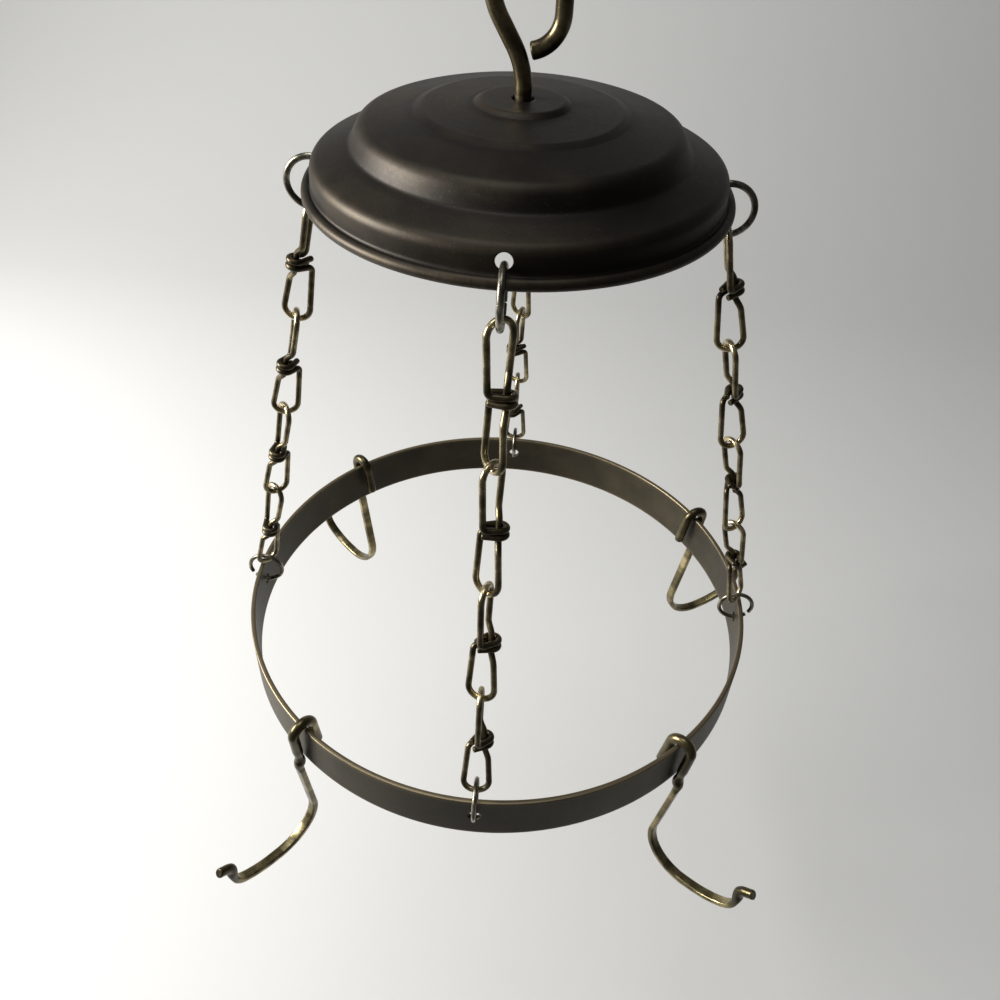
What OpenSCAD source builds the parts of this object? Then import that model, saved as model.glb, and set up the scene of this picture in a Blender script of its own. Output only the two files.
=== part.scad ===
// Hanging pot rack: a pressed dome on a ceiling hook, four knotted-link chains, a flat hoop, four pot hooks.
// Millimetres, +Z up. The origin is the inside top of the ceiling hook's eye, on the axis of dome and hoop.

/* [Ceiling hook] */
// diameter of the round bar the ceiling hook is bent from
hook_bar = 6.35; // [5:0.05:8]
// inside diameter of the eye
eye_inside = 19.15; // [15:0.05:26]
// height of the eye's centre above the crown of the dome
eye_height = 39.5; // [34:0.5:60]
// how far the shank leans to reach the side of the eye
shank_lean = 31; // [25:1:40]
// turn of the eye's lower bend, from its straight side back to the shank
eye_close = 75; // [50:1:80]

/* [Dome] */
// diameter over the rolled bead
dome_diameter = 168; // [150:1:220]
// height from the bottom of the bead to the crown
dome_height = 34.5; // [30:0.5:45]
// thickness of the pressed sheet
sheet = 0.9; // [0.7:0.1:1.2]
// diameter of the rolled bead
bead = 4.4; // [3.6:0.1:5]
// diameter of the four ring holes in the skirt
skirt_hole = 6; // [5.8:0.1:6.6]

/* [Chains] */
// gap from the bottom of the dome's bead to the top edge of the hoop
drop = 225.2; // [190:1:320]
// diameter of the chain wire
chain_wire = 2.7; // [2.2:0.1:3]
// outside width of a link's loop
link_width = 14; // [13:0.5:18]
// length of the cut end that sticks out past each knot
knot_tail = 6.5; // [3:0.5:7]

/* [Rings] */
// outside diameter of the rings in the dome
top_ring_diameter = 23.5; // [22:0.5:28]
// outside diameter of the rings in the hoop
lower_ring_diameter = 20; // [18.5:0.5:25]
// diameter of the lower rings' wire
lower_ring_wire = 2.2; // [1.8:0.1:2.5]

/* [Hoop] */
// outside diameter of the hoop
hoop_diameter = 270; // [240:1:340]
// height of the flat band
band_height = 25.4; // [22:0.2:32]
// thickness of the flat band
band_thickness = 2.5; // [2:0.1:3]
// diameter of the four ring holes in the band
band_hole = 6; // [5.3:0.1:6.5]

/* [Pot hooks] */
// diameter of the pot hooks' bar
pot_bar = 5.3; // [4:0.1:6]
// thickness of the hammered, flattened bow
bow_thickness = 3.4; // [2.6:0.1:3.8]
// inside radius of the bend that rides on the hoop
saddle_inside = 2.95; // [2.9:0.05:4]
// length of the flat strap between the neck and the bow
strap_length = 41; // [30:1:55]
// radius of the bend from the strap into the bow
strap_bend = 22; // [16:1:28]
// radius of the bow's wide bottom
bow_radius = 43; // [30:1:60]

/* [Hidden] */
$fn = 96;
contact_gap = 0.4;
seam_lap = 0.1;
seam_step = 0.01;
knuckle = 0.6;
iron = [0.23, 0.2, 0.17];
brass = [0.45, 0.38, 0.25];

// heights in the rack's frame
eye_radius = (eye_inside + hook_bar) / 2;
eye_z = -eye_inside / 2;
crown_z = eye_z - eye_height;
rim_z = crown_z - dome_height;
hoop_z = rim_z - drop;

// ceiling hook
hook_soft = 31;
hook_firm = 26;
hook_side = 10.5;
hook_tip = 1.2;
hook_slope = (eye_radius - (hook_soft + hook_firm) * (1 - cos(shank_lean))) / sin(shank_lean);
hook_bend_z = eye_z - (hook_soft + hook_firm) * sin(shank_lean) - hook_slope * cos(shank_lean);
washer_diameter = 18;
washer_thickness = 1.5;
nut_flats = 11.1;
nut_height = 5.6;
washer_top = crown_z - sheet - 0.2;
nut_top = washer_top - washer_thickness;
shank_end = nut_top - nut_height - 3;

// dome outline: centre line of the sheet, from the bead to the shank hole
bead_ring = (dome_diameter - bead) / 2;
skirt_foot = bead_ring - bead / 2 + sheet / 2;
skirt_top = skirt_foot - 0.5;
crown = dome_height - sheet / 2;
hole_clear = (hook_bar + 2.1) / 2;
dome_line = [
    [skirt_foot, bead / 2],
    [skirt_top, dome_height * 0.383],
    [skirt_top * 0.810, dome_height * 0.530],
    [skirt_top * 0.763, dome_height * 0.763],
    [skirt_top * 0.515, dome_height * 0.866],
    [skirt_top * 0.470, dome_height * 0.902],
    [skirt_top * 0.230, dome_height * 0.940],
    [skirt_top * 0.198, crown],
    [hole_clear, crown]
];
dome_bends = [0, 4.2, 3, 6, 3.2, 3.2, 2, 2, 0];
skirt_hole_z = rim_z + 9.2;

// chains: a straight line from the dome's skirt to the hoop, along the outside of both
top_ring_radius = (top_ring_diameter - chain_wire) / 2;
lower_ring_radius = (lower_ring_diameter - lower_ring_wire) / 2;
chain_r = skirt_foot;
chain_z = skirt_hole_z - skirt_hole / 2 + chain_wire / 2 + 0.3;
band_mid = (hoop_diameter - band_thickness) / 2;
band_hole_z = hoop_z - 11;
end_z = band_hole_z + 0.6;
reach = band_mid - chain_r;
fall = chain_z - end_z;
chain_lean = atan2(reach, fall);
chain_length = norm([reach, fall]);
link_hold = chain_wire + contact_gap;
ring_hold = (chain_wire + lower_ring_wire) / 2 + contact_gap;
first_crest = 2 * top_ring_radius - link_hold;
last_crest = chain_length - 2 * lower_ring_radius + ring_hold;
crest_span = (last_crest - first_crest + 3 * link_hold) / 4;
link_pitch = crest_span - link_hold;

// knotted link: corner points of one wire, from the waist up round a loop and back to the knot
leg = (link_width - chain_wire) / 2;
leg_lean = 4;
crest = crest_span / 2;
waist = 0.6 * leg_at(0);
strand_rise = 4.5;
strand_shift = 4;
strand_bend = 4.5;
knot_bend = 2.2;
knot_turn = 200;
wrap_radius = chain_wire + 0.2;
wrap_corner = wrap_radius / cos(knot_turn / 4);
wrap_z = wrap_radius / 2;
knot = [waist, waist, wrap_z];
wrap_reach = norm([waist, waist + leg_at(wrap_z)]);
wrap_heading = atan2(waist + leg_at(wrap_z), waist) - asin(wrap_radius / wrap_reach);
half_link = [
    [waist, waist, strand_rise],
    [0, leg_at(strand_rise + strand_shift), strand_rise + strand_shift],
    [0, leg_at(crest), crest],
    [0, -leg_at(crest), crest],
    [0, -leg_at(wrap_z), wrap_z],
    knot + wrap_corner * towards(wrap_heading - 90 + knot_turn / 4),
    knot + wrap_corner * towards(wrap_heading - 90 + knot_turn * 3 / 4),
    knot + wrap_radius * towards(wrap_heading - 90 + knot_turn)
        + knot_tail * towards(wrap_heading + knot_turn)
];
half_bends = [strand_bend, strand_bend, leg, leg, knot_bend, wrap_radius, wrap_radius, 0];
link_line = concat([for (i = [7:-1:0]) other_half(half_link[i])], half_link);
link_bends = concat([for (i = [7:-1:0]) half_bends[i]], half_bends);

function leg_at(z) = leg * tan(45 + leg_lean / 2) - (crest - z) * tan(leg_lean);
function towards(angle) = [cos(angle), sin(angle), 0];
function other_half(p) = [p[1], p[0], -p[2]];

// pot hooks: angles round the hoop and the same bent bar at each
saddle = saddle_inside + pot_bar / 2;
saddle_out = saddle_inside - 2.05;
saddle_up = 0.3 - sqrt(saddle_inside * saddle_inside - pow(band_thickness / 2 + saddle_out, 2));
inner_tilt = 8;
inner_leg = 17;

// Cross-section of a bar; its x is the side the bar bends towards.
module bar_section(d, flat) {
    if (flat > 0) {
        intersection() {
            circle(d = d);
            square([flat, 2 * d], center = true);
        }
    } else {
        circle(d = d);
    }
}

// A bar bent step by step. Each step is [feed, roll, bend angle, bend radius, flat thickness].
// The bar starts at the origin, heads along +Z and bends towards +X. The straights are thinner by a
// hair and reach a hair into the bends, so that the pieces join into one solid. The hammering leaves
// a small knuckle where the round bar turns flat.
module bent_bar(d, steps, i = 0) {
    if (i < len(steps)) {
        step = steps[i];
        lap = i > 0 ? seam_lap : 0;
        if (i > 0 && step[4] != steps[i - 1][4]) {
            sphere(d = d + knuckle);
        }
        if (step[0] + lap > 0) {
            translate([0, 0, -lap])
                linear_extrude(step[0] + lap + seam_lap)
                    bar_section(d - 2 * seam_step, step[4] - 2 * seam_step);
        }
        translate([0, 0, step[0]])
            rotate([0, 0, step[1]]) {
                if (step[2] > 0) {
                    translate([step[3], 0, 0])
                        rotate([90, 0, 180])
                            rotate_extrude(angle = step[2])
                                translate([step[3], 0])
                                    rotate([0, 0, 180])
                                        bar_section(d, step[4]);
                }
                translate([step[3], 0, 0])
                    rotate([0, step[2], 0])
                        translate([-step[3], 0, 0])
                            bent_bar(d, steps, i + 1);
            }
    }
}

// A path is a list of corner points, in the plane or in space, with a bend radius for each.
function aim(path, i) = (path[i + 1] - path[i]) / norm(path[i + 1] - path[i]);
function corner(path, i) = i == 0 || i == len(path) - 1 ? 0 : acos(aim(path, i - 1) * aim(path, i));
function setback(path, bends, i) = bends[i] * tan(corner(path, i) / 2);

// The inner side of a bend where it starts and where it ends, and the roll from one bend to the next.
function inward(path, i) =
    (aim(path, i) - (aim(path, i - 1) * aim(path, i)) * aim(path, i - 1)) / sin(corner(path, i));
function turned_in(path, i) =
    inward(path, i) * cos(corner(path, i)) - aim(path, i - 1) * sin(corner(path, i));
function roll(path, i) =
    i == 1 ? 0 : atan2(
        inward(path, i) * cross(aim(path, i - 1), turned_in(path, i - 1)),
        inward(path, i) * turned_in(path, i - 1)
    );

// A round wire bent at the corners of a path in space.
module bent_wire(d, path, bends) {
    ahead = aim(path, 0);
    side = inward(path, 1);
    across = cross(ahead, side);
    multmatrix([
        [side[0], across[0], ahead[0], path[0][0]],
        [side[1], across[1], ahead[1], path[0][1]],
        [side[2], across[2], ahead[2], path[0][2]],
        [0, 0, 0, 1]
    ])
        bent_bar(d, [
            for (i = [1:len(path) - 1]) [
                norm(path[i] - path[i - 1]) - setback(path, bends, i - 1) - setback(path, bends, i),
                i < len(path) - 1 ? roll(path, i) : 0,
                corner(path, i),
                bends[i],
                0
            ]
        ]);
}

// Outline of a bent sheet: strips along the lines of a path in the plane, joined by round bends.
function heading(path, i) = atan2(path[i + 1][1] - path[i][1], path[i + 1][0] - path[i][0]);
function turn(path, i) = heading(path, i) - heading(path, i - 1);

module sheet_strip(path, bends, t, i) {
    start = setback(path, bends, i);
    end = norm(path[i + 1] - path[i]) - setback(path, bends, i + 1);
    translate(path[i])
        rotate([0, 0, heading(path, i)])
            translate([start - seam_lap, seam_step - t / 2])
                square([end - start + 2 * seam_lap, t - 2 * seam_step]);
}

module sheet_bend(path, bends, t, i) {
    side = sign(turn(path, i));
    angle = abs(turn(path, i));
    wedge = bends[i] + t;
    translate(path[i])
        rotate([0, 0, heading(path, i)])
            rotate([0, 0, -turn(path, i)])
                translate([-setback(path, bends, i), side * bends[i]])
                    intersection() {
                        difference() {
                            circle(r = bends[i] + t / 2);
                            circle(r = bends[i] - t / 2);
                        }
                        rotate([0, 0, side > 0 ? -90 : 90 - angle])
                            polygon([
                                [0, 0],
                                [wedge * 1.2, 0],
                                [wedge * 1.2 * cos(angle / 2), wedge * 1.2 * sin(angle / 2)],
                                [wedge * 1.2 * cos(angle), wedge * 1.2 * sin(angle)]
                            ]);
                    }
}

module bent_sheet(path, bends, t) {
    for (i = [0:len(path) - 2]) {
        sheet_strip(path, bends, t, i);
    }
    for (i = [1:len(path) - 2]) {
        sheet_bend(path, bends, t, i);
    }
}

// A wire ring in the XZ plane with a cut in it.
module wire_ring(r, d, cut_at, cut_angle) {
    rotate([90, 0, 0])
        rotate([0, 0, cut_at + cut_angle / 2])
            rotate_extrude(angle = 360 - cut_angle)
                translate([r, 0])
                    circle(d = d);
}

// Puts a piece at a distance along the chain at one side: +X outwards, -Z down the chain.
module on_chain(side, along) {
    rotate([0, 0, side])
        translate([chain_r, 0, chain_z])
            rotate([0, -chain_lean, 0])
                translate([0, 0, -along])
                    children();
}

// One knotted wire: a loop each way from the waist, each wrapped round the strand between them.
module link(side, number, turned) {
    color(brass)
        on_chain(side, first_crest + crest_span / 2 + (number - 1) * link_pitch)
            rotate([0, 0, turned])
                bent_wire(chain_wire, link_line, link_bends);
}

module top_ring(side) {
    color(brass)
        on_chain(side, top_ring_radius)
            wire_ring(top_ring_radius, chain_wire, 205, 3);
}

module lower_ring(side) {
    color(brass)
        on_chain(side, chain_length - lower_ring_radius)
            wire_ring(lower_ring_radius, lower_ring_wire, -48, 16);
}

module ceiling_hook() {
    color(brass)
        translate([0, 0, shank_end])
            bent_bar(hook_bar, [
                [hook_bend_z - shank_end, 180, shank_lean, hook_soft, 0],
                [hook_slope, 180, shank_lean, hook_firm, 0],
                [0, 0, 180, eye_radius, 0],
                [hook_side, 0, eye_close, eye_radius, 0],
                [hook_tip, 0, 0, 0, 0]
            ]);
}

module hook_washer() {
    color(iron)
        translate([0, 0, washer_top - washer_thickness])
            difference() {
                cylinder(d = washer_diameter, h = washer_thickness);
                translate([0, 0, -1])
                    cylinder(d = hook_bar, h = washer_thickness + 2);
            }
}

module hook_nut() {
    color(iron)
        translate([0, 0, nut_top - nut_height])
            difference() {
                intersection() {
                    cylinder(d = nut_flats / cos(30), h = nut_height, $fn = 6);
                    cylinder(d1 = nut_flats * 0.98, d2 = nut_flats * 2, h = nut_height * 1.9);
                }
                translate([0, 0, -1])
                    cylinder(d = hook_bar, h = nut_height + 2);
            }
}

module dome() {
    color(iron)
        difference() {
            translate([0, 0, rim_z])
                rotate_extrude() {
                    bent_sheet(dome_line, dome_bends, sheet);
                    translate([bead_ring, bead / 2])
                        difference() {
                            circle(d = bead);
                            circle(d = bead - 2 * sheet);
                        }
                }
            for (side = [0:90:270]) {
                rotate([0, 0, side])
                    translate([skirt_top - 3, 0, skirt_hole_z])
                        rotate([0, 90, 0])
                            cylinder(d = skirt_hole, h = 8);
            }
        }
}

module hoop() {
    edge = 0.5;
    color(iron)
        difference() {
            translate([0, 0, hoop_z - band_height])
                rotate_extrude()
                    translate([hoop_diameter / 2 - band_thickness, 0]) {
                        translate([edge, 0])
                            square([band_thickness - 2 * edge, band_height]);
                        translate([0, edge])
                            square([band_thickness, band_height - 2 * edge]);
                        for (x = [edge, band_thickness - edge], z = [edge, band_height - edge]) {
                            translate([x, z])
                                circle(r = edge);
                        }
                    }
            for (side = [0:90:270]) {
                rotate([0, 0, side])
                    translate([band_mid - 5, 0, band_hole_z])
                        rotate([0, 90, 0])
                            cylinder(d = band_hole, h = 10);
            }
        }
}

// Rides over the hoop's top edge; twist and lean are how it has come to hang there.
module pot_hook(side, twist, lean) {
    color(brass)
        rotate([0, 0, side])
            translate([band_mid, 0, hoop_z + 2])
                rotate([0, 0, twist])
                    rotate([lean, 0, 0])
                        translate([saddle_out, 0, saddle_up - 2])
                            rotate([0, inner_tilt, 0])
                                translate([-saddle, 0, -inner_leg])
                                    bent_bar(pot_bar, [
                                        [inner_leg, 0, 177.6, saddle, 0],
                                        [band_height - 4.4, 180, 20, 7, 0],
                                        [2, 180, 22, 7, bow_thickness],
                                        [strap_length, 180, 105, strap_bend, bow_thickness],
                                        [4, 0, 23, bow_radius, bow_thickness],
                                        [1, 0, 65, 13, bow_thickness],
                                        [4, 180, 64, 5, 0],
                                        [5, 0, 0, 0, 0]
                                    ]);
}

ceiling_hook();
hook_washer();
hook_nut();
dome();
top_ring(-90);  // top_ring_front
link(-90, 1, 40);  // front_link_1
link(-90, 2, 55);  // front_link_2
link(-90, 3, 75);  // front_link_3
link(-90, 4, 90);  // front_link_4
lower_ring(-90);  // lower_ring_front
top_ring(0);  // top_ring_right
link(0, 1, 0);  // right_link_1
link(0, 2, 17);  // right_link_2
link(0, 3, 35);  // right_link_3
link(0, 4, 50);  // right_link_4
lower_ring(0);  // lower_ring_right
top_ring(90);  // top_ring_back
link(90, 1, 40);  // back_link_1
link(90, 2, 55);  // back_link_2
link(90, 3, 75);  // back_link_3
link(90, 4, 90);  // back_link_4
lower_ring(90);  // lower_ring_back
top_ring(180);  // top_ring_left
link(180, 1, 0);  // left_link_1
link(180, 2, 17);  // left_link_2
link(180, 3, 35);  // left_link_3
link(180, 4, 50);  // left_link_4
lower_ring(180);  // lower_ring_left
hoop();
pot_hook(-129.3, 2.4, -4);  // pot_hook_front_left
pot_hook(-45.2, 7.3, -2.4);  // pot_hook_front_right
pot_hook(135.2, 4.3, -1.4);  // pot_hook_back_left
pot_hook(31.2, -2.2, 3.1);  // pot_hook_back_right
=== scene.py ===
import math

import bpy
import numpy as np
from mathutils import Matrix, Vector


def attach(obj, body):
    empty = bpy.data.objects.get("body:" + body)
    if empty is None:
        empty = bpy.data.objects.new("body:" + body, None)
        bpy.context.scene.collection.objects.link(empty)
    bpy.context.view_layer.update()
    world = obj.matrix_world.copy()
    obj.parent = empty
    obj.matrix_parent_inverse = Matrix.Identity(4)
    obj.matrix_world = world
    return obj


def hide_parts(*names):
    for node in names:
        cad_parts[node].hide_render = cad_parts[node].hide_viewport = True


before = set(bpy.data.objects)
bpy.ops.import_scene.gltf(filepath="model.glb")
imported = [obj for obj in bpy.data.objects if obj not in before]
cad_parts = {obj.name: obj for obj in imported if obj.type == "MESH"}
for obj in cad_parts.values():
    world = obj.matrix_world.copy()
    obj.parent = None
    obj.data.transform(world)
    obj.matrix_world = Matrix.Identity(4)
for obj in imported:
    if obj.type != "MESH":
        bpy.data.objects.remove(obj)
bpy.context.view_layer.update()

# ---------------------------------------------------------------- ceiling hook
# A round bar, bent cold: a leaning shank, a full eye, and a cut tip that nearly closes on the shank.
# Antique brass plate, darkened, with bright rubs. Sizes are millimetres from the eye's inside top.
HOOK_BAR = 6.35
EYE_INSIDE = 19.15
EYE_HEIGHT = 39.5
EYE_FLAT = 10.5
EYE_CLOSE = 75
SHANK_LEAN = 31
SOFT_BEND = 31
FIRM_BEND = 26
EYE_RADIUS = (EYE_INSIDE + HOOK_BAR) / 2
EYE_Z = -EYE_INSIDE / 2
CROWN_Z = EYE_Z - EYE_HEIGHT
SHEET = 0.9
CROWN_GAP = 0.2
WASHER_THICK = 1.5
NUT_HEIGHT = 5.6
THREAD_PAST_NUT = 3
THREAD_PITCH = 1.27
WASHER_TOP = CROWN_Z - SHEET - CROWN_GAP
SHANK_END = WASHER_TOP - WASHER_THICK - NUT_HEIGHT - THREAD_PAST_NUT
LEAN_COS = math.cos(math.radians(SHANK_LEAN))
LEAN_SIN = math.sin(math.radians(SHANK_LEAN))
HOOK_SLOPE = (EYE_RADIUS - (SOFT_BEND + FIRM_BEND) * (1 - LEAN_COS)) / LEAN_SIN
HOOK_BEND_Z = EYE_Z - (SOFT_BEND + FIRM_BEND) * LEAN_SIN - HOOK_SLOPE * LEAN_COS
BEND_SPACING = 0.6
CROP_EASE = 0.35
CROP_DISH = 0.12
END_RINGS = (0.93, 0.7, 0.4, 0.12)


def turn_matrix(axis, degrees):
    """3x3 rotation by degrees about one of the axes "X", "Y" or "Z"."""
    return np.array(Matrix.Rotation(math.radians(degrees), 3, axis))


def bend_bar(steps, start, facing):
    """Centre line of a bar bent step by step.

    Each step is (feed, roll, turn, radius): run straight along the heading, roll about it, then follow
    a circle of that radius towards the bar's first axis. On the bend at angle b the point is
    place + radius*(1 - cos b)*first + radius*sin b*heading. The columns of facing are the bar's first,
    second and heading axes at the start.
    """
    place = np.array(start, float)
    axes = facing
    points = [place]
    for feed, roll, turn, radius in steps:
        if feed > 0:
            for part in np.linspace(0, 1, max(2, int(feed / BEND_SPACING) + 2))[1:]:
                points.append(place + axes[:, 2] * feed * part)
            place = points[-1]
        axes = axes @ turn_matrix("Z", roll)
        if turn > 0:
            count = max(3, int(math.radians(turn) * radius / BEND_SPACING) + 2, int(turn / 7) + 2)
            for part in np.linspace(0, 1, count)[1:]:
                b = math.radians(turn * part)
                sideways = axes[:, 0] * radius * (1 - math.cos(b))
                points.append(place + sideways + axes[:, 2] * radius * math.sin(b))
            place = points[-1]
            axes = axes @ turn_matrix("Y", turn)
    return np.array(points)


def along(points):
    """Distance along a line of points, from 0 at the first."""
    return np.concatenate([[0], np.cumsum(np.linalg.norm(np.diff(points, axis=0), axis=1))])


def ripple(s, seed, longest):
    """Smooth unevenness along s, mostly between -1 and 1: a sum of five sines with falling wavelengths."""
    source = np.random.default_rng(seed)
    total = np.zeros_like(s)
    for k in range(5):
        total += np.sin(2 * np.pi * s / (longest * 0.62**k) + source.uniform(0, 6.28)) * 0.75**k
    return total / 2.6


def carried_axes(points, first):
    """First cross axis, second cross axis and heading at each point, carried along without twisting."""
    heading = np.gradient(points, axis=0)
    heading /= np.linalg.norm(heading, axis=1)[:, None]
    across = np.zeros_like(points)
    side = np.array(first, float)
    for i, t in enumerate(heading):
        side = side - t * np.dot(side, t)
        side /= np.linalg.norm(side)
        across[i] = side
    return across, np.cross(heading, across), heading


def bar_skin(points, first, half_x, half_y, seed, around, square=2.0):
    """Skin of a bar with two cut ends: rings of superellipse points, then flat shrinking end rings.

    A ring point is centre + X*half_x*c + Y*half_y*s, with c = sign(cos a)*|cos a|^(2/square) and the same
    for s. half_x, half_y and square may vary along the bar. Near a cut end the ring shrinks a little, as
    a cropped bar does. Returns vertices, quads, the two lids, and each quad corner's place round the bar
    and along it.
    """
    s = along(points)
    across, upward, heading = carried_axes(points, first)
    n, m = len(points), around
    half_x = np.broadcast_to(half_x, n) * (1 - 0.012 * (1 + ripple(s, seed, 23)) / 2)
    half_y = np.broadcast_to(half_y, n) * (1 - 0.012 * (1 + ripple(s, seed + 1, 19)) / 2)
    power = 2 / np.broadcast_to(square, n)[:, None]
    a = np.arange(m) * 2 * np.pi / m
    c = np.sign(np.cos(a)) * np.abs(np.cos(a)) ** power
    d = np.sign(np.sin(a)) * np.abs(np.sin(a)) ** power
    end = np.minimum(s, s[-1] - s)
    shrink = 1 - 0.1 * np.clip(1 - end / CROP_EASE, 0, 1) ** 2
    x = c * (half_x * shrink)[:, None]
    y = d * (half_y * shrink)[:, None]
    rings = points[:, None] + across[:, None] * x[..., None] + upward[:, None] * y[..., None]
    ends = []
    for at, sign in ((0, -1), (n - 1, 1)):
        for k in END_RINGS:
            drop = sign * (0.05 - CROP_DISH * (1 - k))
            ends.append(points[at] + (rings[at] - points[at]) * k + heading[at] * drop)
    first_end, last_end = ends[:4][::-1], ends[4:]
    rows = np.concatenate([np.array(first_end), rings, np.array(last_end)])
    v = np.concatenate([s[0] - np.array([1.0, 0.8, 0.5, 0.2]), s, s[-1] + np.array([0.2, 0.5, 0.8, 1.0])])
    count = len(rows)
    i, j = np.meshgrid(np.arange(count - 1), np.arange(m), indexing="ij")
    i, j = i.ravel(), j.ravel()
    faces = np.stack([i * m + j, i * m + (j + 1) % m, (i + 1) * m + (j + 1) % m, (i + 1) * m + j], 1)
    u = np.stack([j, j + 1, j + 1, j], 1) / m
    w = v[np.stack([i, i, i + 1, i + 1], 1)]
    lids = [np.arange(m)[::-1], (count - 1) * m + np.arange(m)]
    return rows.reshape(-1, 3), faces, lids, u, w


def spread(values, around):
    """Gives values along a bar's line to every vertex of its skin. An end ring takes the end's value."""
    repeats = len(END_RINGS)
    return np.repeat(np.concatenate([values[[0] * repeats], values, values[[-1] * repeats]]), around, axis=0)


def put(name, part, material):
    """Makes a mesh object from (vertices, quads, lids, u, v, wear) in millimetres.

    u and v are the quad corners' places for the "Bar" layer. wear holds each vertex's rub and grime.
    """
    skin, quads, lids, u, v, wear = part
    loops = np.concatenate([quads.ravel(), *lids]).astype(np.int32)
    totals = np.array([4] * len(quads) + [len(lid) for lid in lids], np.int32)
    starts = np.concatenate([[0], np.cumsum(totals)[:-1]]).astype(np.int32)
    bar_places = np.zeros((len(loops), 2))
    bar_places[: quads.size] = np.stack([u.ravel(), v.ravel()], 1)
    mesh = bpy.data.meshes.new(name)
    mesh.vertices.add(len(skin))
    mesh.vertices.foreach_set("co", (skin * 0.001).astype(np.float32).ravel())
    mesh.loops.add(len(loops))
    mesh.loops.foreach_set("vertex_index", loops)
    mesh.polygons.add(len(totals))
    mesh.polygons.foreach_set("loop_start", starts)
    mesh.update(calc_edges=True)
    mesh.polygons.foreach_set("use_smooth", np.ones(len(totals), bool))
    for label, values in (("Bar", bar_places), ("Wear", wear[loops])):
        layer = mesh.uv_layers.new(name=label)
        layer.data.foreach_set("uv", values.astype(np.float32).ravel())
    mesh.validate()
    mesh.materials.append(material)
    thing = bpy.data.objects.new(name, mesh)
    bpy.context.scene.collection.objects.link(thing)
    return thing


class Value:
    """One value in a material: arithmetic makes Math nodes, and node() makes any other node from it."""

    def __init__(self, tree, socket):
        self.tree = tree
        self.socket = socket

    def node(self, kind, inputs, out=0, **settings):
        made = self.tree.nodes.new(kind)
        for key, setting in settings.items():
            setattr(made, key, setting)
        for key, given in inputs.items():
            if isinstance(given, Value):
                self.tree.links.new(given.socket, made.inputs[key])
            else:
                made.inputs[key].default_value = given
        return Value(self.tree, made.outputs[out])

    def maths(self, operation, other):
        return self.node("ShaderNodeMath", {0: self, 1: other}, operation=operation)

    def __add__(self, other):
        return self.maths("ADD", other)

    __radd__ = __add__

    def __mul__(self, other):
        return self.maths("MULTIPLY", other)

    __rmul__ = __mul__

    def __sub__(self, other):
        return self.maths("SUBTRACT", other)

    def __rsub__(self, other):
        return (self * -1.0) + other

    def between(self, low, high):
        """0 below low, 1 above high, smooth between them."""
        return self.node(
            "ShaderNodeMapRange",
            {"Value": self, "From Min": low, "From Max": high},
            interpolation_type="SMOOTHSTEP",
        )

    def noise(self, scale, detail, roughness):
        return self.node(
            "ShaderNodeTexNoise",
            {"Vector": self, "Scale": scale, "Detail": detail, "Roughness": roughness},
        )

    def colours(self, *stops):
        """A colour for each value from stops of (place, (red, green, blue))."""
        toned = self.node("ShaderNodeValToRGB", {0: self})
        elements = toned.socket.node.color_ramp.elements
        while len(elements) < len(stops):
            elements.new(0.5)
        for element, (place, colour) in zip(elements, stops):
            element.position = place
            element.color = (*colour, 1)
        return toned

    def tint(self, colour, share):
        """This colour with a share of another one, (red, green, blue)."""
        return self.node("ShaderNodeMix", {0: share, 6: self, 7: (*colour, 1)}, out=2, data_type="RGBA")


def new_material(name):
    """A bare material with its own shader, and its object place, bar place and wear as values."""
    material = bpy.data.materials.new(name)
    material.use_nodes = True
    tree = material.node_tree
    tree.nodes.clear()
    shader = tree.nodes.new("ShaderNodeBsdfPrincipled")
    output = tree.nodes.new("ShaderNodeOutputMaterial")
    tree.links.new(shader.outputs[0], output.inputs[0])
    place = tree.nodes.new("ShaderNodeTexCoord")
    bar = tree.nodes.new("ShaderNodeUVMap")
    bar.uv_map = "Bar"
    wear = tree.nodes.new("ShaderNodeUVMap")
    wear.uv_map = "Wear"
    split = tree.nodes.new("ShaderNodeSeparateXYZ")
    tree.links.new(wear.outputs[0], split.inputs[0])
    return (
        material,
        shader,
        Value(tree, place.outputs["Object"]),
        Value(tree, bar.outputs[0]),
        Value(tree, split.outputs[0]),
        Value(tree, split.outputs[1]),
    )


def connect(shader, **values):
    """Sets the shader's sockets from values or plain numbers, with _ for spaces in their names."""
    for name, given in values.items():
        socket = shader.inputs[name.replace("_", " ")]
        if isinstance(given, Value):
            given.tree.links.new(given.socket, socket)
        else:
            socket.default_value = given


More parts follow.
